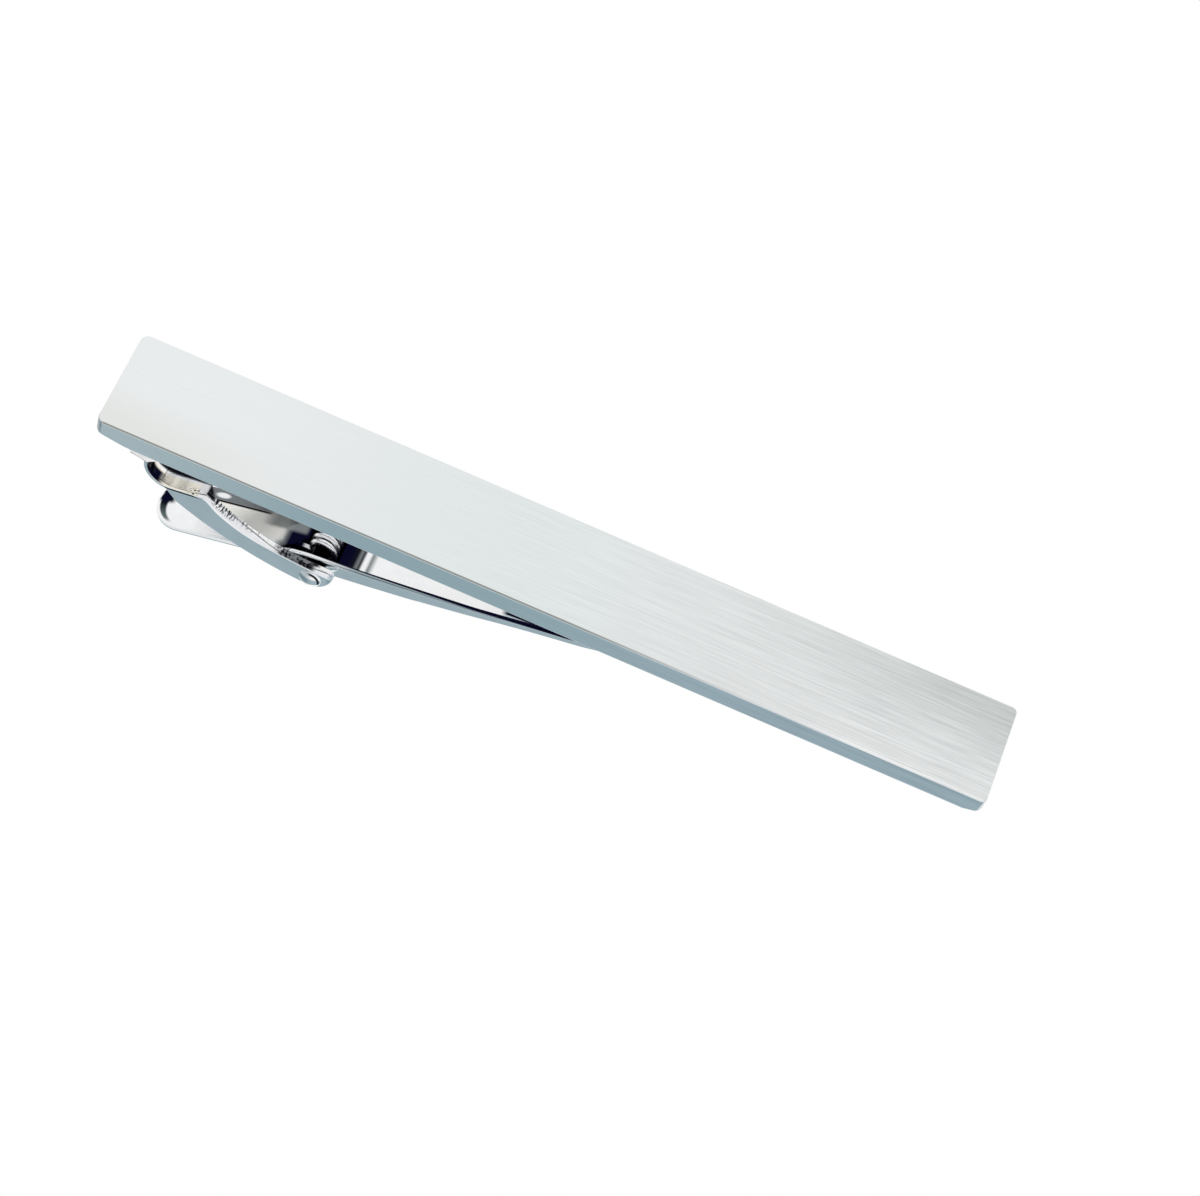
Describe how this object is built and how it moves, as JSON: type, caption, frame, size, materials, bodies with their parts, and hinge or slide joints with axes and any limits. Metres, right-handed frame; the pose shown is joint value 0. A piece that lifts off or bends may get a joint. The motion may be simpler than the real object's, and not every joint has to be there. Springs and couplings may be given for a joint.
{
  "type": "tie clip",
  "caption": "Sprung tie clip: a flat brushed front bar with a folded bracket behind it, and a channel-shaped lever that a wire spring holds shut about a riveted pin.",
  "frame": {"origin": "middle of the bar's front face", "axes": "+X along the bar from the hinge end to the lever's tip end, +Y across the bar, +Z out of the front face"},
  "size_m": [0.058, 0.0072, 0.0114],
  "materials": {
    "bar": "fine brush lines along the bar, bright plated",
    "braze": "bright plated braze metal",
    "bracket": "polished plating over a stamped sheet, sheared edges",
    "pin": "polished plated rivet",
    "spring": "bright drawn wire",
    "lever": "polished plating over thin sheet"
  },
  "bodies": {
    "bar": {"front_bar": "bar", "braze_seam": "braze", "clasp_bracket": "bracket", "hinge_pin": "pin", "torsion_spring": "spring"},
    "lever": {"clip_lever": "lever"}
  },
  "joints": [
    {"name": "lever_hinge", "type": "hinge", "parent": "bar", "child": "lever", "pos_m": [-0.01407, 0, -0.00815], "axis": [0, 1, 0], "range_deg": [0, 24], "stiffness_Nm_per_rad": 0.019, "springref_deg": -68.75, "deforming": ["torsion_spring"]}
  ]
}
